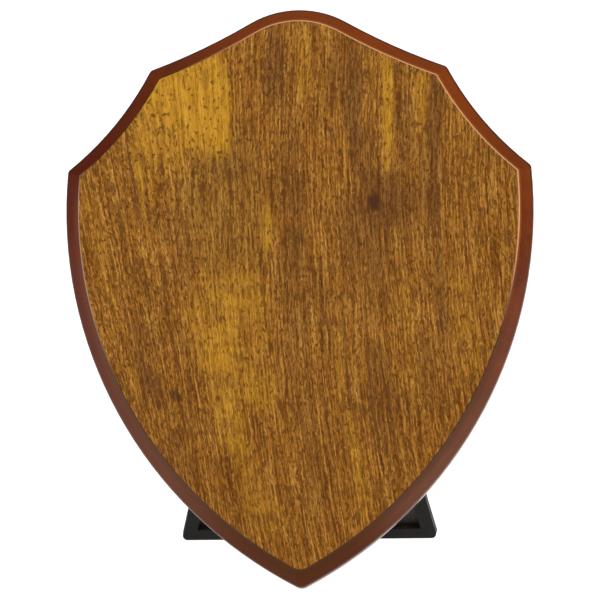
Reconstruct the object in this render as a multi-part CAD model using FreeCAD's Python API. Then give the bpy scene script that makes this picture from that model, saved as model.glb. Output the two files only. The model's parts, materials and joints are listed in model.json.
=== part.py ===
"""Shield-shaped presentation plaque, 175 mm tall, standing on a fold-out strut.

The board is a 12 mm fibreboard core with a bevelled edge, a thin decorative laminate on the
front and a balancing laminate on the back. A moulded bracket screwed to the back carries the
strut on a steel pin, and a keyhole plate lets the plaque hang on a wall instead.

Two frames are used, both in millimetres:
  board frame  X to the right, Y into the board from its front face, Z up from the sharp tip
               of the outline. Everything fixed to the board is modelled here.
  strut frame  the same directions with the strut folded flat, origin on the hinge axis.
stand() leans the board back and sets it down, so that the rounded tip and the strut's foot
both touch Z = 0, with the origin under the middle of the whole object.
"""
import FreeCAD
import Part
import math
import os

V = FreeCAD.Vector
ACROSS = V(1, 0, 0)
INTO = V(0, 1, 0)
UP = V(0, 0, 1)

# ---- Outline of the board, sharp corners: a half is four arcs, mirrored about X = 0 ----
BOARD_H = 175.5                 # sharp tip to crown; rounding the tip takes off 0.5
SHOULDER = (45.0, 157.4)        # upper corner
CORNER = (70.1, 126.8)          # side corner
CROWN_R = 29.2                  # convex, centred on X = 0
SHOULDER_R = 192.0              # hollow, crown to shoulder, tangent to the crown
FLANK_R = 94.0                  # hollow, shoulder to side corner
SIDE_R = 128.4                  # full, side corner to tip

# ---- Board section ----
BOARD_T = 12.0
FRONT_LAM_T = 0.4
BACK_LAM_T = 0.4
# Edge profile as (inset from the outline, depth, corner radius, tip radius)
FRONT_EDGE = [(4.85, 0.0, 0.35, 4.0), (4.62, 0.07, 0.4, 4.0), (4.42, 0.22, 0.5, 4.0),
              (4.30, FRONT_LAM_T, 0.5, 4.0)]
BEVEL_EDGE = [FRONT_EDGE[-1], (2.40, 2.42, 1.0, 3.6), (0.62, 4.62, 1.6, 3.2), (0.28, 5.10, 1.8, 3.2),
              (0.07, 5.62, 1.9, 3.2), (0.0, 6.2, 2.0, 3.2), (0.0, 11.0, 2.0, 3.2),
              (0.06, 11.35, 2.0, 3.2), (0.2, BOARD_T - BACK_LAM_T, 1.9, 3.1)]
BACK_EDGE = [BEVEL_EDGE[-1], (0.42, 11.85, 1.8, 3.0), (0.7, BOARD_T, 1.7, 2.9)]

# ---- Stance ----
LEAN = 20.5                     # board from the vertical
OPEN = 35.3                     # strut from the board's back, against its stop

# ---- Hinge bracket ----
HINGE_UP = 80.0                 # hinge axis above the tip, along the board
HINGE_OFF = 3.6                 # hinge axis behind the board's back
KNUCKLE_R = 2.9
PIN_R = 1.25
PIN_RUNNING = 0.05              # radial clearance in the strut's barrel
PIN_HALF = 23.2
BRACKET_HALF = 23.5
BRACKET_T = 2.5
BRACKET_H = 34.0                # top of the plate above the hinge axis
EAR_INNER = 17.6
BARREL_HALF = 17.25
PLATE_LOW = 3.2                 # lower edge of the plate above the hinge axis
BRACKET_CORNER_R = 7.0
BRACKET_ROUND = 0.8
EAR_ABOVE = 11.0                # ears run out above and below the axis
EAR_BELOW = 1.5
EAR_TOE = 0.9                   # thickness of the ears' lower end
BOSS_R = 4.6
BOSS_H = 0.5
BOSS_DRAFT = 0.4
WINDOW_HALF_W = 7.0             # weight-saving pocket between the screws
WINDOW_FLOOR = 1.3
WINDOW_LOW = 13.0
WINDOW_HIGH = 27.0
WINDOW_R = 2.0
PIN_CHAMFER = 0.3
BRACKET_SCREWS = [(-14.5, 12.5), (14.5, 12.5), (-14.5, 27.0), (14.5, 27.0)]

# ---- Strut ----
STRUT_HALF_T = 2.5
FOOT_HALF_W = 40.1
STRUT_TAPER = 13.4              # each side edge from the strut's centre line
STRUT_TOP = -3.7                # top edge of the slab below the axis
STRUT_CORNER_R = 1.5
RIM_SIDE = 4.2
RIM_FOOT = 3.7
RIM_TOP = 4.0
RECESS = 3.5
RIB_T = 1.4
RIB_X = 11.0
RIB_Z = 12.0                    # cross ribs above and below the recess's middle
RIB_DEEP = 0.5                  # ribs end below the rim
BACK_PANEL = 0.5
BACK_BORDER = 5.5
PANEL_CORNER_R = 2.5
LIP_FACE = 1.55                 # front of the stop lip behind the axis
LIP_SHORT = 2.0                 # lip ends inside the barrel's ends
STOP_GAP = 0.06                 # left between lip and plate when open
STRUT_ROUND = 0.45

# ---- Keyhole plate ----
HANGER_UP = 148.0
HANGER_HALF_W = 22.0
HANGER_HALF_H = 10.5
HANGER_T = 1.2
HANGER_CORNER_R = 6.0
HANGER_ROUND = 0.35
KEY_R = 4.2
KEY_SLOT_HALF = 2.2
KEY_TRAVEL = 9.5                # entry hole centre to slot end centre
KEY_DROP = 4.5                  # entry hole centre below the plate's middle
POCKET_HALF_W = 6.5
POCKET_LOW = 10.5               # pocket ends below and above the plate's middle
POCKET_HIGH = 10.0
POCKET_DEPTH = 7.6
HANGER_SCREW_X = 16.5

# ---- Screws ----
CSK_HEAD_R = 3.0
CSK_HEAD_H = 1.6
PAN_HEAD_R = 2.8
PAN_HEAD_H = 1.7
PAN_ROUND = 0.9
CSK_SLOT = 1.2                  # depth of the cross recess in each head
PAN_SLOT = 1.1
SLOT_ARM = 0.6                  # cross recess, as fractions of the head's radius
SLOT_WIDTH = 0.19
SLOT_POINT = 0.15
SHANK_R = 1.5
CORE_R = 1.05
THREAD_PITCH = 1.2
THREAD_START = 0.5
THREAD_ROOT = (0.35, 0.65)      # where the root starts and ends, as fractions of the pitch
SHANK_CLEAR = 0.03
CSK_LENGTH = 10.0
PAN_LENGTH = 8.0
POINT = 2.2
PILOT_EXTRA = 0.3               # pilot holes are this much deeper than the screws
PILOT_TIP_R = 0.05


# ---------------------------------------------------------------- outline
def meet(c1, r1, c2, r2, side):
    """Where two circles cross; side picks the crossing to the left (+1) or right of c1 -> c2."""
    dx, dz = c2[0] - c1[0], c2[1] - c1[1]
    d = math.hypot(dx, dz)
    along = (d * d + r1 * r1 - r2 * r2) / (2 * d)
    off = math.sqrt(r1 * r1 - along * along) * side
    return (c1[0] + (along * dx - off * dz) / d, c1[1] + (along * dz + off * dx) / d)


CROWN_C = (0.0, BOARD_H - CROWN_R)
SHOULDER_C = meet(CROWN_C, CROWN_R + SHOULDER_R, SHOULDER, SHOULDER_R, +1)
FLANK_C = meet(SHOULDER, FLANK_R, CORNER, FLANK_R, +1)
SIDE_C = meet((0.0, 0.0), SIDE_R, CORNER, SIDE_R, +1)


def on_arc(centre, radius, towards):
    """The point of a circle in the direction of another point."""
    dx, dz = towards[0] - centre[0], towards[1] - centre[1]
    d = math.hypot(dx, dz)
    return (centre[0] + radius * dx / d, centre[1] + radius * dz / d)


def arc_edge(centre, radius, start, end, depth):
    """Shorter arc of a circle between two of its points, at a depth."""
    half_way = on_arc(centre, radius, ((start[0] + end[0]) / 2, (start[1] + end[1]) / 2))
    points = [V(p[0], depth, p[1]) for p in (start, half_way, end)]
    return Part.Arc(*points).toShape()


def sharp_corners(inset):
    """Tip, side corner and shoulder of the outline moved inwards, before any rounding."""
    tip_z = SIDE_C[1] - math.sqrt((SIDE_R - inset) ** 2 - SIDE_C[0] ** 2)
    corner = meet(SIDE_C, SIDE_R - inset, FLANK_C, FLANK_R + inset, -1)
    shoulder = meet(FLANK_C, FLANK_R + inset, SHOULDER_C, SHOULDER_R + inset, +1)
    return (0.0, tip_z), corner, shoulder


def ring(inset, depth, corner_r, tip_r):
    """Closed wire of twelve arcs: the outline moved inwards, corners rounded, at a depth."""
    tip_c = sharp_corners(inset + tip_r)[0]
    corner_c = sharp_corners(inset + corner_r)[1]
    shoulder_c = sharp_corners(inset + corner_r)[2]
    side_r, flank_r, shoulder_r = SIDE_R - inset, FLANK_R + inset, SHOULDER_R + inset
    crown_r = CROWN_R - inset
    crown_end = on_arc(CROWN_C, crown_r, SHOULDER_C)
    half = [
        (SIDE_C, side_r, on_arc(SIDE_C, side_r, tip_c), on_arc(SIDE_C, side_r, corner_c)),
        (corner_c, corner_r, on_arc(SIDE_C, side_r, corner_c), on_arc(FLANK_C, flank_r, corner_c)),
        (FLANK_C, flank_r, on_arc(FLANK_C, flank_r, corner_c), on_arc(FLANK_C, flank_r, shoulder_c)),
        (shoulder_c, corner_r, on_arc(FLANK_C, flank_r, shoulder_c),
         on_arc(SHOULDER_C, shoulder_r, shoulder_c)),
        (SHOULDER_C, shoulder_r, on_arc(SHOULDER_C, shoulder_r, shoulder_c), crown_end),
    ]

    def flip(p):
        return (-p[0], p[1])

    edges = [arc_edge(c, r, a, b, depth) for c, r, a, b in half]
    edges.append(arc_edge(CROWN_C, crown_r, crown_end, flip(crown_end), depth))
    edges += [arc_edge(flip(c), r, flip(b), flip(a), depth) for c, r, a, b in reversed(half)]
    tip_end = half[0][2]
    tip_low = (0.0, tip_c[1] - tip_r)
    points = [V(p[0], depth, p[1]) for p in (flip(tip_end), tip_low, tip_end)]
    edges.append(Part.Arc(*points).toShape())
    return Part.Wire(edges)


def shield(profile):
    """Solid through the rings of an edge profile."""
    solid = Part.makeLoft([ring(*level) for level in profile], True, True)
    if solid.Volume < 0:
        solid.reverse()
    return solid


# ---------------------------------------------------------------- small shapes
def box(x0, x1, y0, y1, z0, z1):
    return Part.makeBox(x1 - x0, y1 - y0, z1 - z0, V(x0, y0, z0))


def rod(radius, start, direction, length):
    return Part.makeCylinder(radius, length, start, direction)


def prism(points, x0, x1):
    """Polygon in Y and Z, drawn along X."""
    wire = Part.makePolygon([V(x0, y, z) for y, z in points + points[:1]])
    return Part.Face(wire).extrude(V(x1 - x0, 0, 0))


def plate(points, y0, y1):
    """Polygon in X and Z, drawn along Y."""
    wire = Part.makePolygon([V(x, y0, z) for x, z in points + points[:1]])
    return Part.Face(wire).extrude(V(0, y1 - y0, 0))


def edges_along(shape, direction, test):
    """Straight edges that run one way and pass a test on their middle point."""
    found = []
    for edge in shape.Edges:
        if not isinstance(edge.Curve, (Part.Line, Part.LineSegment)):
            continue
        span = edge.Vertexes[-1].Point - edge.Vertexes[0].Point
        if span.Length < 1e-6 or abs(span.normalize().dot(direction)) < 0.999:
            continue
        if test(edge.CenterOfMass):
            found.append(edge)
    return found


def cross_slot(radius, depth):
    """Cross recess cutter for a screw head whose top is at Y = 0, drawn towards -Y."""
    arm, width = radius * SLOT_ARM, radius * SLOT_WIDTH
    blades = box(-arm, arm, -depth, 0.1, -width, width)
    blades = blades.fuse(box(-width, width, -depth, 0.1, -arm, arm))
    taper = Part.makeCone(radius * SLOT_POINT, arm, depth + 0.1, V(0, -depth, 0), INTO)
    return blades.common(taper)


def threaded_shank(length):
    """Shank from Y = 0 towards -Y: ridges on a core, then a point."""
    profile = [(0.0, 0.0), (SHANK_R - SHANK_CLEAR, 0.0)]
    y = THREAD_START
    while y + THREAD_PITCH <= length - POINT:
        profile.append((SHANK_R - SHANK_CLEAR, -y))
        profile += [(CORE_R, -y - part * THREAD_PITCH) for part in THREAD_ROOT]
        y += THREAD_PITCH
    profile += [(SHANK_R - SHANK_CLEAR, -y), (0.0, -length)]
    wire = Part.makePolygon([V(r, y, 0) for r, y in profile + profile[:1]])
    return Part.Face(wire).revolve(V(0, 0, 0), INTO, 360)


def csk_screw():
    """Countersunk wood screw, head flush with Y = 0, pointing towards -Y."""
    head = Part.makeCone(SHANK_R, CSK_HEAD_R, CSK_HEAD_H, V(0, -CSK_HEAD_H, 0), INTO)
    shank = threaded_shank(CSK_LENGTH - CSK_HEAD_H).translated(V(0, -CSK_HEAD_H, 0))
    return head.fuse(shank).cut(cross_slot(CSK_HEAD_R, CSK_SLOT)).removeSplitter()


def pan_screw():
    """Pan-head wood screw, head standing on Y = 0, pointing towards -Y."""
    head = rod(PAN_HEAD_R, V(0, 0, 0), INTO, PAN_HEAD_H)
    top_rim = [e for e in head.Edges if all(v.Point.y > PAN_HEAD_H / 2 for v in e.Vertexes)]
    head = head.makeFillet(PAN_ROUND, top_rim)
    slot = cross_slot(PAN_HEAD_R, PAN_SLOT).translated(V(0, PAN_HEAD_H, 0))
    return head.fuse(threaded_shank(PAN_LENGTH)).cut(slot).removeSplitter()


def pilot(x, z, depth):
    """Hole left by a screw, from the back of the board."""
    straight = rod(SHANK_R, V(x, BOARD_T - depth + POINT, z), INTO, depth - POINT + 1)
    point = Part.makeCone(PILOT_TIP_R, SHANK_R, POINT, V(x, BOARD_T - depth, z), INTO)
    return straight.fuse(point)


# ---------------------------------------------------------------- board
def board_cutters():
    """Everything cut into the board from the back: pilot holes and the keyhole's pocket."""
    bracket_depth = CSK_LENGTH - BRACKET_T - BOSS_H + PILOT_EXTRA
    cutters = [pilot(x, HINGE_UP + z, bracket_depth) for x, z in BRACKET_SCREWS]
    hanger_depth = PAN_LENGTH - HANGER_T + PILOT_EXTRA
    cutters += [pilot(x, HANGER_UP, hanger_depth) for x in (-HANGER_SCREW_X, HANGER_SCREW_X)]
    low = HANGER_UP - POCKET_LOW + POCKET_HALF_W
    high = HANGER_UP + POCKET_HIGH - POCKET_HALF_W
    floor_y = BOARD_T - POCKET_DEPTH
    pocket = box(-POCKET_HALF_W, POCKET_HALF_W, floor_y, BOARD_T + 1, low, high)
    for z in (low, high):
        pocket = pocket.fuse(rod(POCKET_HALF_W, V(0, floor_y, z), INTO, POCKET_DEPTH + 1))
    return cutters + [pocket.removeSplitter()]


def make_board():
    """Front laminate, core and back laminate, which share the surfaces where they are glued."""
    cutters = board_cutters()
    return {
        "front_laminate": shield(FRONT_EDGE),
        "board_core": shield(BEVEL_EDGE).cut(cutters),
        "back_laminate": shield(BACK_EDGE).cut(cutters),
    }


# ---------------------------------------------------------------- hinge bracket
def make_bracket():
    """Plate screwed to the board's back, with an ear and a knuckle at each end of the pin."""
    back = BOARD_T
    axis_y, axis_z = back + HINGE_OFF, HINGE_UP
    body = box(-BRACKET_HALF, BRACKET_HALF, back, back + BRACKET_T, axis_z + PLATE_LOW,
               axis_z + BRACKET_H)
    top_corners = edges_along(body, INTO, lambda m: m.z > axis_z + BRACKET_H - 1)
    body = body.makeFillet(BRACKET_CORNER_R, top_corners)
    back_rim = [e for e in body.Edges if all(abs(v.Point.y - back - BRACKET_T) < 1e-6 for v in e.Vertexes)
                and e.CenterOfMass.z > axis_z + PLATE_LOW + 1]
    body = body.makeFillet(BRACKET_ROUND, back_rim)
    ear = [(back, axis_z - EAR_BELOW), (back, axis_z + EAR_ABOVE), (back + BRACKET_T, axis_z + EAR_ABOVE),
           (axis_y + KNUCKLE_R, axis_z), (back + EAR_TOE, axis_z - EAR_BELOW)]
    for side in (-1, 1):
        x0, x1 = sorted((side * EAR_INNER, side * BRACKET_HALF))
        body = body.fuse(prism(ear, x0, x1))
        body = body.fuse(rod(KNUCKLE_R, V(x0, axis_y, axis_z), ACROSS, x1 - x0))
    surface = back + BRACKET_T
    for x, z in BRACKET_SCREWS:
        foot = V(x, surface, axis_z + z)
        body = body.fuse(Part.makeCone(BOSS_R + BOSS_DRAFT, BOSS_R, BOSS_H, foot, INTO))
    for x, z in BRACKET_SCREWS:
        top = V(x, surface + BOSS_H, axis_z + z)
        sink = Part.makeCone(CSK_HEAD_R, SHANK_R, CSK_HEAD_H, top, -INTO)
        body = body.cut([sink, rod(SHANK_R, top, -INTO, 2 * BRACKET_T)])
    body = body.cut(rod(PIN_R, V(-BRACKET_HALF - 1, axis_y, axis_z), ACROSS, 2 * BRACKET_HALF + 2))
    window = box(-WINDOW_HALF_W, WINDOW_HALF_W, back + WINDOW_FLOOR, surface + 1,
                 axis_z + WINDOW_LOW, axis_z + WINDOW_HIGH)
    window = window.makeFillet(WINDOW_R, edges_along(window, INTO, lambda m: True))
    return body.cut(window).removeSplitter()


def make_pin():
    """Steel pin, pressed into both knuckles of the bracket."""
    pin = rod(PIN_R, V(-PIN_HALF, BOARD_T + HINGE_OFF, HINGE_UP), ACROSS, 2 * PIN_HALF)
    ends = [e for e in pin.Edges if abs(abs(e.CenterOfMass.x) - PIN_HALF) < 1e-6]
    return pin.makeChamfer(PIN_CHAMFER, ends)


def screw_group(screw, places):
    return Part.makeCompound([screw.translated(V(*place)) for place in places])


# ---------------------------------------------------------------- keyhole plate
def make_hanger():
    """Flat plate with a keyhole: the screw's head goes in below, its shank slides up the slot."""
    y0, y1 = BOARD_T, BOARD_T + HANGER_T
    body = box(-HANGER_HALF_W, HANGER_HALF_W, y0, y1, HANGER_UP - HANGER_HALF_H,
               HANGER_UP + HANGER_HALF_H)
    body = body.makeFillet(HANGER_CORNER_R, edges_along(body, INTO, lambda m: True))
    rim = [e for e in body.Edges if all(abs(v.Point.y - y1) < 1e-6 for v in e.Vertexes)]
    body = body.makeFillet(HANGER_ROUND, rim)
    entry = HANGER_UP - KEY_DROP
    cutters = [rod(KEY_R, V(0, y0 - 1, entry), INTO, HANGER_T + 2),
               rod(KEY_SLOT_HALF, V(0, y0 - 1, entry + KEY_TRAVEL), INTO, HANGER_T + 2),
               box(-KEY_SLOT_HALF, KEY_SLOT_HALF, y0 - 1, y1 + 1, entry, entry + KEY_TRAVEL)]
    cutters += [rod(SHANK_R, V(x, y0 - 1, HANGER_UP), INTO, HANGER_T + 2)
                for x in (-HANGER_SCREW_X, HANGER_SCREW_X)]
    return body.cut(cutters).removeSplitter()


# ---------------------------------------------------------------- strut
def strut_half_width(z, foot_z):
    """Half width of the strut at a height in the strut frame."""
    return FOOT_HALF_W - (z - foot_z) * math.tan(math.radians(STRUT_TAPER))


def trapezoid(z_low, z_high, foot_z, margin):
    """Corners of a trapezoid that keeps a margin from the strut's side edges."""
    side = margin / math.cos(math.radians(STRUT_TAPER))
    low = strut_half_width(z_low, foot_z) - side
    high = strut_half_width(z_high, foot_z) - side
    return [(-low, z_low), (low, z_low), (high, z_high), (-high, z_high)]


def make_strut(drop, lean):
    """Strut folded flat, hinge axis at the origin. drop is the height of the axis above the
    table, and lean the strut's angle from the vertical when open: they set the foot's cut."""
    t = STRUT_HALF_T
    sin, cos = math.sin(lean), math.cos(lean)
    foot_z = -(drop - t * sin) / cos            # where the front face meets the table
    below = foot_z - 3
    slab = plate(trapezoid(below, STRUT_TOP, foot_z, 0), -t, t)
    down = V(0, -sin, -cos)
    table = FreeCAD.Placement(down * drop, FreeCAD.Rotation(UP, down))
    under = box(-2 * FOOT_HALF_W, 2 * FOOT_HALF_W, -FOOT_HALF_W, FOOT_HALF_W, 0, FOOT_HALF_W)
    slab = slab.cut(placed(under, table))
    low_corners = [e for e in slab.Edges if abs(abs(e.CenterOfMass.x) - FOOT_HALF_W) < 1.0
                   and e.Length < 3 * t and abs(e.CenterOfMass.z - foot_z) < 2]
    slab = slab.makeFillet(STRUT_CORNER_R, low_corners)
    outer = [e for e in slab.Edges if abs(abs(e.CenterOfMass.y) - t) < 0.02
             and e.CenterOfMass.z < STRUT_TOP - 1 and e.CenterOfMass.z > foot_z + 1.5]
    slab = slab.makeFillet(STRUT_ROUND, outer)

    recess_low, recess_high = foot_z + RIM_FOOT, STRUT_TOP - RIM_TOP
    recess = plate(trapezoid(recess_low, recess_high, foot_z, RIM_SIDE), -t - 1, -t + RECESS)
    middle = (recess_low + recess_high) / 2
    rib_y = -t + RIB_DEEP
    for x in (-RIB_X, RIB_X):
        recess = recess.cut(box(x - RIB_T / 2, x + RIB_T / 2, rib_y, t, recess_low - 1, recess_high + 1))
    for z in (middle - RIB_Z, middle + RIB_Z):
        recess = recess.cut(box(-FOOT_HALF_W, FOOT_HALF_W, rib_y, t, z - RIB_T / 2, z + RIB_T / 2))
    panel = plate(trapezoid(foot_z + BACK_BORDER, STRUT_TOP - BACK_BORDER, foot_z, BACK_BORDER),
                  t - BACK_PANEL, t + 1)
    panel = panel.makeFillet(PANEL_CORNER_R, edges_along(panel, INTO, lambda m: True))

    barrel = rod(KNUCKLE_R, V(-BARREL_HALF, 0, 0), ACROSS, 2 * BARREL_HALF)
    neck = box(-BARREL_HALF, BARREL_HALF, -t, t, STRUT_TOP - 1, 0)
    opening = math.radians(OPEN)
    lip_len = (HINGE_OFF - BRACKET_T - STOP_GAP + LIP_FACE * math.cos(opening)) / math.sin(opening)
    lip = box(LIP_SHORT - BARREL_HALF, BARREL_HALF - LIP_SHORT, LIP_FACE, KNUCKLE_R, 0, lip_len)
    body = slab.cut([recess, panel]).fuse([barrel, neck, lip])
    bore = rod(PIN_R + PIN_RUNNING, V(-BARREL_HALF - 1, 0, 0), ACROSS, 2 * BARREL_HALF + 2)
    return body.cut(bore).removeSplitter()


# ---------------------------------------------------------------- assembly
def placement_x(angle, move):
    return FreeCAD.Placement(move, FreeCAD.Rotation(ACROSS, angle))


def placed(shape, placement):
    return shape.transformed(placement.toMatrix(), True)


def build():
    fixed = make_board()
    fixed["hinge_bracket"] = make_bracket()
    fixed["hinge_pin"] = make_pin()
    head_y = BOARD_T + BRACKET_T + BOSS_H
    fixed["bracket_screws"] = screw_group(
        csk_screw(), [(x, head_y, HINGE_UP + z) for x, z in BRACKET_SCREWS])
    fixed["hanger_plate"] = make_hanger()
    fixed["hanger_screws"] = screw_group(
        pan_screw(), [(x, BOARD_T + HANGER_T, HANGER_UP) for x in (-HANGER_SCREW_X, HANGER_SCREW_X)])

    lean = placement_x(-LEAN, V(0, 0, 0))
    leant = [placed(shape, lean) for shape in fixed.values()]
    boxes = [shape.optimalBoundingBox(False, False) for shape in leant]
    low = min(b.ZMin for b in boxes)
    near, far = min(b.YMin for b in boxes), max(b.YMax for b in boxes)
    stand = placement_x(-LEAN, V(0, -(near + far) / 2, -low))

    hinge = stand.multVec(V(0, BOARD_T + HINGE_OFF, HINGE_UP))
    strut = make_strut(hinge.z, math.radians(OPEN - LEAN))
    shapes = {name: placed(shape, stand) for name, shape in fixed.items()}
    shapes["strut_leg"] = placed(strut, placement_x(OPEN - LEAN, hinge))

    entry = stand.multVec(V(0, BOARD_T + HANGER_T / 2, HANGER_UP - KEY_DROP))
    face = stand.multVec(V(0, 0, BOARD_H / 2))
    print("hinge", hinge, "keyhole", entry, "front face", face)
    return shapes


def main():
    os.makedirs("parts", exist_ok=True)
    for name, shape in build().items():
        solids = shape.Solids
        print(f"{name}: {len(solids)} solid(s), {sum(s.Volume for s in solids):.1f} mm3, "
              f"valid {shape.isValid()}, closed {all(s.isClosed() for s in solids)}")
        shape.exportStep(f"parts/{name}.step")


main()
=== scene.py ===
"""Looks of the shield plaque: a wood-grain laminate face, a mahogany-stained lacquered edge, a
black moulded strut and zinc-plated fittings, on a pale floor in soft studio light.

Patterns are laid out in the board's own frame, in millimetres: x to the right, y into the board
and z up the board, from the middle of the front face.
"""
import json
import math
import bpy
from mathutils import Matrix, Vector

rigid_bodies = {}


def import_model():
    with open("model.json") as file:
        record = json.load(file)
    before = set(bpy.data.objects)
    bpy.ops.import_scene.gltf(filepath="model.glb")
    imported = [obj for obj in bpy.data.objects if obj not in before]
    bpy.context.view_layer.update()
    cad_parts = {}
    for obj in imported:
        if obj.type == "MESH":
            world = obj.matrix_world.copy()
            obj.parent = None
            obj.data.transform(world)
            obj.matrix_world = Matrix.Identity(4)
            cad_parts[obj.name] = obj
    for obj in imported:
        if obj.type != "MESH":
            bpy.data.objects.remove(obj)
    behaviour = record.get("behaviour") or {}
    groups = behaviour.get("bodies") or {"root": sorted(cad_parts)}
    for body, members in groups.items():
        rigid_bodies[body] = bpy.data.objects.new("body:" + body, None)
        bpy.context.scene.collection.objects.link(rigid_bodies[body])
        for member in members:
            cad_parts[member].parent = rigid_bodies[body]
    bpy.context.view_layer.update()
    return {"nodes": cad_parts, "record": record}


for leftover in list(bpy.data.objects):
    bpy.data.objects.remove(leftover, do_unlink=True)
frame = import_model()

MM = 0.001
SCENE = bpy.context.scene

# ---- The board's frame, from the mount in the middle of its front face ----
FACE = next(m for m in frame["record"]["mounts"] if m["name"] == "front_face")
FACE_MID = Vector(FACE["pos_m"])
LEAN = math.asin(FACE["axis"][2])

# ---- Camera ----
CAM_AZIMUTH = 3.0               # degrees to the right of straight in front
CAM_ELEVATION = 13.4
CAM_ROLL = -1.38                # the picture leans slightly to the left
CAM_DISTANCE = 1.0
CAM_AIM = Vector((0.37, 0.0, -1.8)) * MM    # from the middle of the front face
CAM_LENS = 200.7
SENSOR = 36.0

# ---- Strut: its hinge axis, and its shape below that, in millimetres ----
HINGE = Vector(frame["record"]["behaviour"]["joints"][0]["pos_m"])
STRUT_LEAN = 14.8               # degrees, foot to the back
STRUT_DROP = 75.5
FOOT_HALF_W = 40.1
STRUT_TAPER = 13.4              # degrees, each side
STRUT_HALF_T = 2.5
TRAY_RIM = 2.5
TRAY_FLOOR = 1.0

# ---- Board: depths from the front face, in millimetres ----
ARRIS_MID, ARRIS_HALF = 0.24, 0.14      # cut edge of the front laminate
BEVEL_DEPTH = 5.0                       # the side wall begins here

# ---- Light and floor ----
WORLD_LIGHT = 0.3
KEY_POS, KEY_SIZE, KEY_POWER = Vector((0.7, -0.7, 1.6)), 0.6, 13.0
FILL_POS, FILL_SIZE, FILL_POWER = Vector((-1.1, -1.1, 1.0)), 0.9, 6.0
FLOOR_HALF = 4.0
FLOOR_GLOW = 0.95

# ---- Grain of the laminate: its slope, and how that grows to the left and down the board ----
GRAIN_SLOPE = 0.07
GRAIN_SLOPE_LEFT = 0.00006
GRAIN_SLOPE_LOW = -0.0007
GRAIN_BEND = -50.0              # further left the slope grows no more
BACK_OFFSET = (310.0, 0.0, 140.0)       # the back is cut from another part of the sheet


def srgb(red, green, blue):
    """Linear colour of an 8-bit display colour."""
    def lin(v):
        v /= 255
        return v / 12.92 if v <= 0.04045 else ((v + 0.055) / 1.055) ** 2.4
    return (lin(red), lin(green), lin(blue), 1.0)


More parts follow.
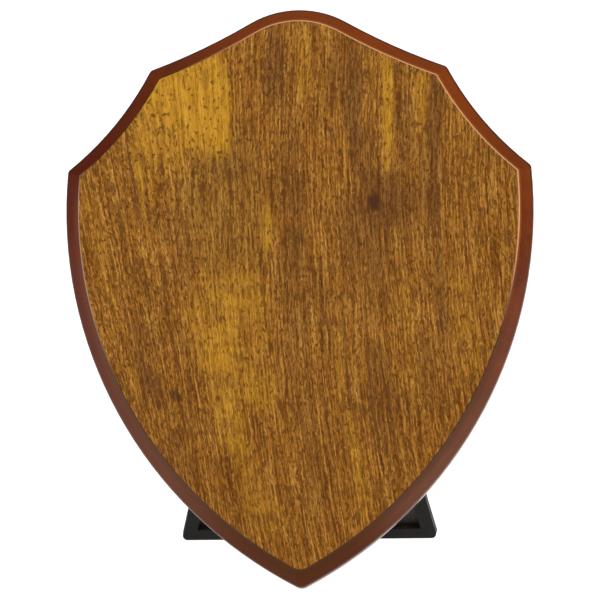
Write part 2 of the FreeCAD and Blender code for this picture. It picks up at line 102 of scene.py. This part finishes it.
# ---------------------------------------------------------------- node helpers
class Graph:
    """A material's node tree, with one short call for each kind of node."""

    def __init__(self, name):
        self.material = bpy.data.materials.new(name)
        self.material.use_nodes = True
        self.nodes = self.material.node_tree.nodes
        self.links = self.material.node_tree.links
        self.shader = self.nodes["Principled BSDF"]

    def put(self, socket, value):
        if isinstance(value, bpy.types.NodeSocket):
            self.links.new(value, socket)
        else:
            socket.default_value = value

    def set(self, **inputs):
        """Principled inputs; an underscore stands for a space."""
        for name, value in inputs.items():
            self.put(self.shader.inputs[name.replace("_", " ")], value)

    def math(self, operation, *values):
        node = self.nodes.new("ShaderNodeMath")
        node.operation = operation
        for socket, value in zip(node.inputs, values):
            self.put(socket, value)
        return node.outputs[0]

    def vector(self, operation, *values):
        node = self.nodes.new("ShaderNodeVectorMath")
        node.operation = operation
        for socket, value in zip(node.inputs, values):
            self.put(socket, value)
        return node.outputs["Value" if operation == "LENGTH" else "Vector"]

    def split(self, vector):
        node = self.nodes.new("ShaderNodeSeparateXYZ")
        self.put(node.inputs[0], vector)
        return node.outputs

    def join(self, x, y, z):
        node = self.nodes.new("ShaderNodeCombineXYZ")
        for socket, value in zip(node.inputs, (x, y, z)):
            self.put(socket, value)
        return node.outputs[0]

    def noise(self, vector, scale=1.0, detail=2.0, roughness=0.5):
        node = self.nodes.new("ShaderNodeTexNoise")
        settings = {"Vector": vector, "Scale": scale, "Detail": detail, "Roughness": roughness}
        for name, value in settings.items():
            self.put(node.inputs[name], value)
        return node.outputs["Fac"]

    def pattern(self, place, per_mm, detail=2.0, roughness=0.5):
        """Noise with its own number of blotches per millimetre along each axis."""
        return self.noise(self.vector("MULTIPLY", place, per_mm), detail=detail, roughness=roughness)

    def sway(self, noise, amount, base):
        """The base, moved up and down by a noise about its middle value."""
        return self.math("MULTIPLY_ADD", self.math("SUBTRACT", noise, 0.5), amount, base)

    def times(self, first, *others):
        for other in others:
            first = self.math("MULTIPLY", first, other)
        return first

    def near(self, value, middle, inner, outer, strength=1.0):
        """The strength within inner of the middle, 0 past outer, with a soft step between."""
        off = self.math("ABSOLUTE", self.math("SUBTRACT", value, middle))
        return self.span(off, inner, outer, strength, 0.0)

    def span(self, value, low, high, out_low=0.0, out_high=1.0):
        """Soft step from out_low at low to out_high at high."""
        node = self.nodes.new("ShaderNodeMapRange")
        node.interpolation_type = "SMOOTHSTEP"
        for socket, number in zip(node.inputs, (value, low, high, out_low, out_high)):
            self.put(socket, number)
        return node.outputs[0]

    def ramp(self, value, stops):
        node = self.nodes.new("ShaderNodeValToRGB")
        elements = node.color_ramp.elements
        while len(elements) < len(stops):
            elements.new(0.5)
        for element, (position, colour) in zip(elements, stops):
            element.position = position
            element.color = colour
        self.put(node.inputs[0], value)
        return node.outputs["Color"]

    def mix(self, amount, first, second):
        node = self.nodes.new("ShaderNodeMix")
        node.data_type = "RGBA"
        self.put(node.inputs["Factor"], amount)
        self.put(node.inputs[6], first)
        self.put(node.inputs[7], second)
        return node.outputs[2]

    def bump(self, height, distance, strength):
        node = self.nodes.new("ShaderNodeBump")
        self.put(node.inputs["Height"], height)
        self.put(node.inputs["Distance"], distance)
        self.put(node.inputs["Strength"], strength)
        self.put(self.shader.inputs["Normal"], node.outputs["Normal"])

    def frame_mm(self, origin, lean):
        """Position in a frame turned about the x axis, in millimetres."""
        place = self.nodes.new("ShaderNodeTexCoord").outputs["Object"]
        shifted = self.vector("SUBTRACT", place, tuple(origin))
        node = self.nodes.new("ShaderNodeMapping")
        node.inputs["Rotation"].default_value = (lean, 0.0, 0.0)
        node.inputs["Scale"].default_value = (1 / MM, 1 / MM, 1 / MM)
        self.put(node.inputs["Vector"], shifted)
        return node.outputs[0]

    def board_mm(self):
        """Position in the board's frame, from the middle of its front face."""
        return self.frame_mm(FACE_MID, LEAN)

    def object_mm(self):
        """Position in the object's own frame, which is the row's frame, in millimetres."""
        place = self.nodes.new("ShaderNodeTexCoord").outputs["Object"]
        return self.vector("MULTIPLY", place, (1 / MM, 1 / MM, 1 / MM))


# ---------------------------------------------------------------- laminate
# Patches of the printed grain: (x, z, half width, half length, strength), in millimetres
GOLDEN = [(-39, 65, 8.0, 12, 1.0), (-30, 60, 6.5, 17, 1.0), (-24, 57, 3.0, 16, 1.0), (-40, 47, 5.0, 10, 0.5),
          (-10, 21, 1.8, 9, 0.6), (-21, 1, 12.0, 7, 0.25), (-26, -9, 9.0, 14, 0.4),
          (-15, -7, 7.0, 14, 0.35), (-21, -23, 8.0, 14, 0.45), (-11, -29, 5.0, 7, 0.5),
          (-20, -39, 6.0, 10, 0.4), (-15, -55, 4.0, 14, 0.35), (-8, -66, 4.0, 8, 0.35),
          (26.8, 56, 1.6, 19, 0.8), (37, 61, 1.8, 12, 0.4), (-47, 42, 2.5, 15, 0.45),
          (-60, 15, 3.0, 18, 0.25), (14, -31, 2.2, 22, 0.3), (18, -55, 2.5, 12, 0.4),
          (50, -11, 4.0, 18, 0.3), (33, -15, 2.0, 22, 0.3), (2, 70, 2.0, 12, 0.3), (-47.6, 31, 0.8, 15, 0.5)]
DARK = [(-7, 70, 3.0, 13, 0.75), (-2, 32, 5.0, 22, 0.4), (-1, 5, 5.0, 18, 0.35), (0, -23, 4.0, 18, 0.3),
        (17, 60, 3.0, 17, 0.8), (19, 42, 4.0, 9, 0.5), (11, 66, 2.0, 12, 0.4), (41, 56, 2.4, 15, 0.8),
        (40, 36, 3.5, 12, 0.65), (42, 4, 2.5, 26, 0.5), (32, 50, 3.0, 13, 0.5), (30, 28, 7.0, 8, 0.55),
        (22.6, 28, 6.0, 9, 0.5), (24, 22, 14.0, 17, 0.3), (23, 10, 3.0, 14, 0.35), (16, 16, 5.0, 14, 0.35),
        (-43, -29, 4.0, 6, 0.65), (-37, -30, 1.8, 2.4, 0.9), (-47, -17, 4.0, 12, 0.5),
        (-36, -49, 6.0, 10, 0.45), (-36, 14, 5.0, 18, 0.3), (-21, 39, 7.0, 4, 0.4), (8, -7, 3.0, 20, 0.3),
        (25, -31, 4.0, 20, 0.4), (38, -23, 4.0, 12, 0.35), (4, -51, 3.0, 16, 0.35)]
LONG_LINES = [(22, -33, 0.6, 26, 0.9), (8, -36, 0.5, 16, 0.8), (14, -20, 0.5, 20, 0.8),
              (28, -40, 0.5, 15, 0.7), (-49.3, 32, 0.6, 14, 0.9), (-45.4, 28, 0.5, 12, 0.7),
              (-54, 22, 0.5, 12, 0.6), (-38, -12, 0.5, 18, 0.6), (-33, -22, 0.5, 14, 0.6),
              (-46, 0, 0.5, 14, 0.6)]
OLIVE = [(-22, 28, 13.0, 26, 1.0)]
KNOTS = [(22.6, 27.5, 1.9, 2.9, 1.0), (-37, -30, 1.3, 1.6, 0.6)]
PATCH_SOLID, PATCH_GONE = 0.55, 1.35    # where a patch starts and stops fading, 1 being its edge

# Colours of the print, and of the painted shade, reflection and highlight on its cut edge
GRAIN_TONES = [(0.1, srgb(91, 47, 3)), (0.35, srgb(121, 71, 12)), (0.54, srgb(148, 96, 31)),
               (0.72, srgb(172, 119, 47)), (0.95, srgb(198, 146, 66))]
GOLD_TONES = [(0.3, srgb(180, 124, 28)), (0.65, srgb(214, 159, 44))]
RED_FIGURE = srgb(142, 72, 24)
OLIVE_SHADE = srgb(132, 98, 36)
DARK_BAND = srgb(84, 50, 26)
KNOT_BROWN = srgb(58, 31, 22)
PORE_BROWN = srgb(74, 38, 4)
# Cut edge: painted shade, a painted reflection on the left and a painted highlight at the top right
ARRIS_SHADE, ARRIS_REFLECTION, ARRIS_LIT = srgb(66, 40, 16), srgb(164, 134, 108), srgb(226, 166, 118)


def grain_slope(x, z):
    """How far the grain leans: upright at the top right, more and more to the left and down."""
    left = min(max(x, GRAIN_BEND), 0.0)
    return GRAIN_SLOPE + GRAIN_SLOPE_LEFT * left * left + GRAIN_SLOPE_LOW * z


def grain_space(g, place):
    """The board's frame bent so that the grain runs straight up it."""
    x, y, z = g.split(place)
    left = g.math("MINIMUM", g.math("MAXIMUM", x, GRAIN_BEND), 0.0)
    slope = g.math("MULTIPLY_ADD", g.times(left, left), GRAIN_SLOPE_LEFT, GRAIN_SLOPE)
    slope = g.math("MULTIPLY_ADD", z, GRAIN_SLOPE_LOW, slope)
    across = g.math("MULTIPLY_ADD", z, slope, x)
    across = g.sway(g.pattern(place, (0.03, 0.03, 0.012), detail=1.0), 3.0, across)
    across = g.sway(g.pattern(place, (0.12, 0.12, 0.10)), 1.2, across)
    jitter = g.span(x, -50.0, -20.0, 0.9, 0.55)
    across = g.sway(g.pattern(place, (0.6, 0.6, 0.7)), jitter, across)
    return g.join(across, y, z)


def patch_mask(g, grain, patches):
    """Sum of soft streaks, each longer along the grain than across it."""
    ragged = g.math("SUBTRACT", g.pattern(grain, (0.9, 0.9, 0.10), 3.0, 0.65), 0.5)
    total = 0.0
    for x, z, half_width, half_length, strength in patches:
        across = x + z * grain_slope(x, z)
        off = g.vector("SUBTRACT", grain, (across, 0.0, float(z)))
        off = g.vector("MULTIPLY", off, (1 / half_width, 0.0, 1 / half_length))
        reach = g.math("ADD", g.vector("LENGTH", off), ragged)
        total = g.math("ADD", total, g.span(reach, PATCH_SOLID, PATCH_GONE, strength, 0.0))
    return g.math("MINIMUM", total, 1.0)


def ridge(g, grain, across, along, width=0.055):
    """Thin wavy lines along the grain: 1 on a line, 0 beside it."""
    return g.near(g.pattern(grain, (across, 0.1, along), 1.0), 0.5, 0.0, width)


def pore_mask(g, grain, gold):
    """Dark pores: broken lines along the grain and short dots, with less of both where it is golden."""
    lines = g.math("MAXIMUM", ridge(g, grain, 0.6, 0.03), ridge(g, grain, 1.0, 0.12))
    lines = g.times(lines, g.span(g.pattern(grain, (0.9, 0.1, 0.35), 2.0, 0.6), 0.40, 0.50))
    lines = g.times(lines, g.math("MULTIPLY_ADD", gold, -0.45, 1.0))
    threshold = g.math("MULTIPLY_ADD", gold, 0.015, 0.59)
    dots = g.math("SUBTRACT", g.pattern(grain, (1.35, 0.1, 0.5), 1.0), threshold)
    return g.times(g.math("MAXIMUM", lines, g.span(dots, 0.0, 0.06)), 0.8)


def arris_line(g, board, colour):
    """The laminate's cut edge, painted with light and shade: a painted highlight at the top right, a pale
    painted reflection on the left, painted shade elsewhere.
    """
    x, y, z = g.split(board)
    # pale painted reflection on the left side of the cut edge
    left_arris_reflection = g.times(g.span(x, -35.0, -55.0), g.span(z, 42.0, 30.0), g.span(z, -30.0, 5.0))
    line = g.mix(left_arris_reflection, ARRIS_SHADE, ARRIS_REFLECTION)
    # painted highlight along the top right of the cut edge
    line = g.mix(g.span(g.math("MULTIPLY_ADD", x, 0.8, z), 35.0, 75.0), line, ARRIS_LIT)
    return g.mix(g.near(y, ARRIS_MID, ARRIS_HALF, ARRIS_HALF + 0.07), colour, line)


def laminate(name, golden, dark, olive, knots, offset):
    """Printed wood grain: tonal bands, fibres, patches and short dark pores, satin-sealed, with painted
    light and shade on its cut edge.
    """
    g = Graph(name)
    board = g.board_mm()
    place = g.vector("ADD", board, offset) if offset else board
    grain = grain_space(g, place)
    x, y, z = g.split(place)

    fibres = g.pattern(grain, (1.5, 0.1, 0.045), 3.0, 0.75)
    tone = g.sway(g.pattern(grain, (0.085, 0.05, 0.012), 3.0, 0.6), 0.25, 0.56)
    tone = g.sway(g.pattern(grain, (0.42, 0.1, 0.028), 3.0, 0.6), 0.3, tone)
    tone = g.sway(fibres, 1.8, tone)
    speckle = g.span(x, -50.0, -20.0, 1.7, 1.25)
    tone = g.sway(g.pattern(grain, (1.9, 0.1, 0.6), 3.0, 0.75), speckle, tone)
    tone = g.math("SUBTRACT", tone, g.span(z, 0.0, -50.0, 0.0, 0.04))
    colour = g.ramp(tone, GRAIN_TONES)
    red = g.span(g.pattern(grain, (0.9, 0.1, 0.12)), 0.5, 0.75, 0.0, 0.35)
    colour = g.mix(red, colour, RED_FIGURE)

    flame = g.span(g.pattern(grain, (0.05, 0.1, 0.32), 1.0), 0.4, 0.6, 0.55, 1.0)
    gold = g.times(patch_mask(g, grain, golden), g.math("MAXIMUM", flame, g.span(z, 20.0, 45.0)))
    colour = g.mix(g.times(patch_mask(g, grain, olive), 0.3), colour, OLIVE_SHADE)
    colour = g.mix(g.times(gold, 0.7), colour, g.ramp(fibres, GOLD_TONES))
    colour = g.mix(g.times(patch_mask(g, grain, dark), 0.62), colour, DARK_BAND)
    colour = g.mix(g.times(patch_mask(g, grain, knots), 0.8), colour, KNOT_BROWN)
    pores = pore_mask(g, grain, gold)
    colour = g.mix(g.times(pores, 0.9), colour, PORE_BROWN)

    g.set(Base_Color=arris_line(g, board, colour), Roughness=g.span(pores, 0.0, 1.0, 0.42, 0.62),
          Specular_IOR_Level=0.1)
    g.bump(g.math("MULTIPLY_ADD", fibres, 0.15, g.math("SUBTRACT", 1.0, pores)), 0.06 * MM, 0.6)
    return g.material


# ---------------------------------------------------------------- stained edge, with painted light and shade
# Colours of the stain under lacquer, and of the painted light, shade and reflections on it
STAIN_TONES = [(0.25, srgb(90, 33, 3)), (0.5, srgb(104, 42, 5)), (0.75, srgb(120, 52, 8))]
LEFT_SHADE = srgb(87, 25, 2)            # painted shade on the left side
TOP_RIGHT_LIGHT = srgb(146, 68, 14)          # painted light at the top right
# painted reflection of the floor on the lower bevels, left and right
FLOOR_REFLECTION_LEFT, FLOOR_REFLECTION_RIGHT = srgb(85, 47, 30), srgb(97, 60, 42)
# painted shade at the tip
TIP_SHADE = srgb(73, 30, 2)
OUTER_ARRIS_SHADE = srgb(48, 18, 8)              # painted shade on the outer arris
LEFT_BEVEL_REFLECTION = srgb(138, 92, 66)        # painted reflection on the inner part of the left bevel
# painted shade on the inner part of the bevel, low down and at the tip
INNER_SHADE_LOW, INNER_SHADE_TIP = srgb(66, 42, 22), srgb(66, 38, 3)
# painted highlight beside the front arris at the top right
LIT_STAIN = srgb(186, 116, 70)


def stain_and_painted_light(g, place, tip):
    """Mahogany stain with painted light and shade: painted light at the top right, painted shade on the
    left, at the tip, on the outer arris and low on the inner bevel, painted reflections of the floor down
    the sides and on the inner left bevel, and a painted highlight by the front arris at the top right.
    """
    x, y, z = g.split(place)
    cloud = g.pattern(place, (0.11, 0.11, 0.11), 3.0, 0.6)
    mottle = g.pattern(place, (0.9, 0.9, 0.9), 3.0, 0.65)
    colour = g.ramp(g.sway(mottle, 0.5, cloud), STAIN_TONES)

    # painted shade on the left side, fading out towards the bottom
    left = g.times(g.span(x, -30.0, -66.0), g.span(z, -60.0, -10.0, 0.0, 0.9))
    colour = g.mix(left, colour, LEFT_SHADE)
    # painted light along the top and the top right
    top_right_lit = g.span(g.math("MULTIPLY_ADD", x, 0.5, z), 45.0, 90.0, 0.0, 0.6)
    colour = g.mix(top_right_lit, colour, TOP_RIGHT_LIGHT)
    # painted reflection of the floor, growing down the sides
    low = g.span(z, 20.0, -60.0, 0.0, 0.75)
    colour = g.mix(low, colour, g.mix(g.span(x, 0.0, 30.0), FLOOR_REFLECTION_LEFT, FLOOR_REFLECTION_RIGHT))
    # painted shade on the outer arris along the top
    outer = g.times(g.near(y, BEVEL_DEPTH - 0.1, 0.1, 0.6, 0.7), g.span(z, 5.0, 35.0))
    colour = g.mix(outer, colour, OUTER_ARRIS_SHADE)

    # painted reflection on the inner part of the left bevel
    left_sheen_mask = g.times(g.span(y, 3.2, 0.8), g.span(x, -15.0, -60.0), g.span(z, 40.0, 22.0, 0.0, 0.25))
    colour = g.mix(left_sheen_mask, colour, LEFT_BEVEL_REFLECTION)
    # painted highlight beside the front arris at the top right
    lit = g.span(g.math("MULTIPLY_ADD", x, 0.8, z), 35.0, 75.0)
    colour = g.mix(g.times(lit, g.span(y, 1.2, 0.4, 0.0, 0.4)), colour, LIT_STAIN)
    # painted shade towards the tip
    colour = g.mix(g.times(tip, 0.95), colour, TIP_SHADE)
    # painted shade on the inner part of the bevel, low down
    inner = g.times(g.span(y, 2.6, 1.0), g.span(z, 10.0, -40.0, 0.0, 0.5))
    return g.mix(inner, colour, g.mix(tip, INNER_SHADE_LOW, INNER_SHADE_TIP))


def stained_edge_painted_light():
    """Mahogany stain on smooth fibreboard under lacquer, with painted light and shade in its colour: satin
    on the bevel, glossy on the side wall.
    """
    g = Graph("mahogany_stain_painted_light")
    place = g.board_mm()
    x, y, z = g.split(place)
    # the tip: painted shade in the stain, and a thinner satin coat
    tip = g.span(z, -55.0, -80.0)
    wall = g.span(y, BEVEL_DEPTH - 0.2, BEVEL_DEPTH + 0.4)
    satin = g.span(tip, 0.0, 1.0, 0.07, 0.02)
    shine = g.span(z, 0.0, -60.0, 1.0, 0.4)
    gloss = g.math("MULTIPLY_ADD", wall, g.math("SUBTRACT", shine, satin), satin)
    g.set(Base_Color=stain_and_painted_light(g, place, tip), Roughness=0.5, Specular_IOR_Level=0.05, Coat_Weight=gloss,
          Coat_Roughness=0.12, Coat_IOR=1.6)
    peel = g.pattern(place, (0.7, 0.7, 0.7), 1.0)
    fine = g.pattern(place, (3.5, 3.5, 3.5))
    g.bump(g.math("MULTIPLY_ADD", fine, 0.35, peel), 0.05 * MM, 0.4)
    return g.material


# ---------------------------------------------------------------- plastic and metal
def tray_mask(g):
    """1 inside the strut's recess, 0 on its rim, sides and back."""
    x, depth, up = g.split(g.frame_mm(HINGE, -math.radians(STRUT_LEAN)))
    from_foot = g.math("ADD", up, STRUT_DROP)
    reach = g.math("MULTIPLY_ADD", from_foot, math.tan(math.radians(STRUT_TAPER)), g.math("ABSOLUTE", x))
    within_sides = g.math("LESS_THAN", reach, FOOT_HALF_W - TRAY_RIM)
    above_foot = g.math("GREATER_THAN", from_foot, TRAY_RIM)
    below_rim = g.span(depth, 0.1 - STRUT_HALF_T, 0.4 - STRUT_HALF_T)
    above_back = g.math("LESS_THAN", depth, STRUT_HALF_T - TRAY_FLOOR)
    return g.times(within_sides, above_foot, below_rim, above_back)


def black_plastic(name, tray):
    """Black moulded plastic with a fine spark-eroded texture, with painted light lifting the shaded recess
    of the strut to a lighter grey.
    """
    g = Graph(name)
    place = g.object_mm()
    cloud = g.pattern(place, (0.2, 0.2, 0.2))
    colour = g.ramp(cloud, [(0.3, srgb(22, 21, 20)), (0.7, srgb(29, 28, 26))])
    if tray:
        # painted light: a lighter grey in the strut's recess, which lies in shade
        recess_lightening = g.ramp(cloud, [(0.3, srgb(58, 56, 53)), (0.7, srgb(68, 66, 62))])
        colour = g.mix(tray_mask(g), colour, recess_lightening)
    g.set(Base_Color=colour, Roughness=g.span(cloud, 0.3, 0.7, 0.5, 0.6), Specular_IOR_Level=0.15)
    spark = g.pattern(place, (5.0, 5.0, 5.0), 2.0, 0.7)
    g.bump(spark, 0.03 * MM, 0.5)
    return g.material


def zinc():
    """Bright zinc plating with faint mottling and fine rolling scratches."""
    g = Graph("bright_zinc")
    place = g.object_mm()
    cloud = g.pattern(place, (0.5, 0.5, 0.5), 3.0)
    scratch = g.pattern(place, (0.5, 9.0, 9.0), 2.0, 0.7)
    colour = g.ramp(cloud, [(0.3, srgb(168, 170, 172)), (0.7, srgb(206, 207, 205))])
    g.set(Base_Color=colour, Metallic=1.0, Roughness=g.span(scratch, 0.3, 0.7, 0.22, 0.40))
    g.bump(scratch, 0.01 * MM, 0.5)
    return g.material


def dress():
    """Materials of the CAD nodes."""
    looks = {
        "front_laminate": laminate("grain_front", GOLDEN, DARK + LONG_LINES, OLIVE, KNOTS, None),
        "back_laminate": laminate("grain_back", [], [], [], [], BACK_OFFSET),
        "board_core": stained_edge_painted_light(),
        "hinge_bracket": black_plastic("black_bracket", tray=False),
        "strut_leg": black_plastic("black_strut", tray=True),
    }
    zinc_plate = zinc()
    for node in ("hinge_pin", "bracket_screws", "hanger_plate", "hanger_screws"):
        looks[node] = zinc_plate
    for node, material in looks.items():
        for slot in frame["nodes"][node].material_slots:
            slot.material = material


# ---------------------------------------------------------------- studio
def floor():
    """A pale floor that glows a little, so that it comes out white and almost without shadow."""
    mesh = bpy.data.meshes.new("floor")
    corners = [(sx * FLOOR_HALF, sy * FLOOR_HALF, 0.0) for sx, sy in ((-1, -1), (1, -1), (1, 1), (-1, 1))]
    mesh.from_pydata(corners, [], [(0, 1, 2, 3)])
    plane = bpy.data.objects.new("floor", mesh)
    SCENE.collection.objects.link(plane)
    g = Graph("pale_floor")
    grey = g.noise(g.object_mm(), scale=0.01)
    tone = g.ramp(grey, [(0.3, srgb(240, 240, 240)), (0.7, srgb(246, 246, 246))])
    g.set(Base_Color=tone, Roughness=0.7, Specular_IOR_Level=0.2, Emission_Color=(1.0, 1.0, 1.0, 1.0),
          Emission_Strength=FLOOR_GLOW)
    mesh.materials.append(g.material)


def look_matrix(position, target, roll=0.0):
    """Placement that looks from the position at the target, turned by the roll in degrees."""
    back = (position - target).normalized()
    right = Vector((0, 0, 1)).cross(back).normalized()
    up = back.cross(right)
    turn = math.radians(roll)
    side = right * math.cos(turn) + up * math.sin(turn)
    top = up * math.cos(turn) - right * math.sin(turn)
    matrix = Matrix((side, top, back)).transposed().to_4x4()
    matrix.translation = position
    return matrix


def softbox(name, position, size, power):
    data = bpy.data.lights.new(name, "AREA")
    data.shape = "DISK"
    data.size = size
    data.energy = power
    lamp = bpy.data.objects.new(name, data)
    SCENE.collection.objects.link(lamp)
    lamp.matrix_world = look_matrix(position, FACE_MID)


def studio():
    """Soft white surroundings, a key light from the front right and a fill light from the left."""
    world = bpy.data.worlds.new("studio")
    world.use_nodes = True
    background = world.node_tree.nodes["Background"].inputs
    background["Color"].default_value = (1.0, 1.0, 1.0, 1.0)
    background["Strength"].default_value = WORLD_LIGHT
    SCENE.world = world
    SCENE.view_settings.view_transform = "Standard"
    softbox("key", KEY_POS, KEY_SIZE, KEY_POWER)
    softbox("fill", FILL_POS, FILL_SIZE, FILL_POWER)
    floor()


def camera():
    """The camera, at a distance from the middle of the board's face."""
    azimuth, elevation = math.radians(CAM_AZIMUTH), math.radians(CAM_ELEVATION)
    target = FACE_MID + CAM_AIM
    level = math.cos(elevation)
    back = Vector((math.sin(azimuth) * level, -math.cos(azimuth) * level, math.sin(elevation)))
    data = bpy.data.cameras.new("camera")
    data.lens = CAM_LENS
    data.sensor_width = SENSOR
    eye = bpy.data.objects.new("camera", data)
    SCENE.collection.objects.link(eye)
    eye.matrix_world = look_matrix(target + back * CAM_DISTANCE, target, CAM_ROLL)
    SCENE.camera = eye


dress()
studio()
camera()
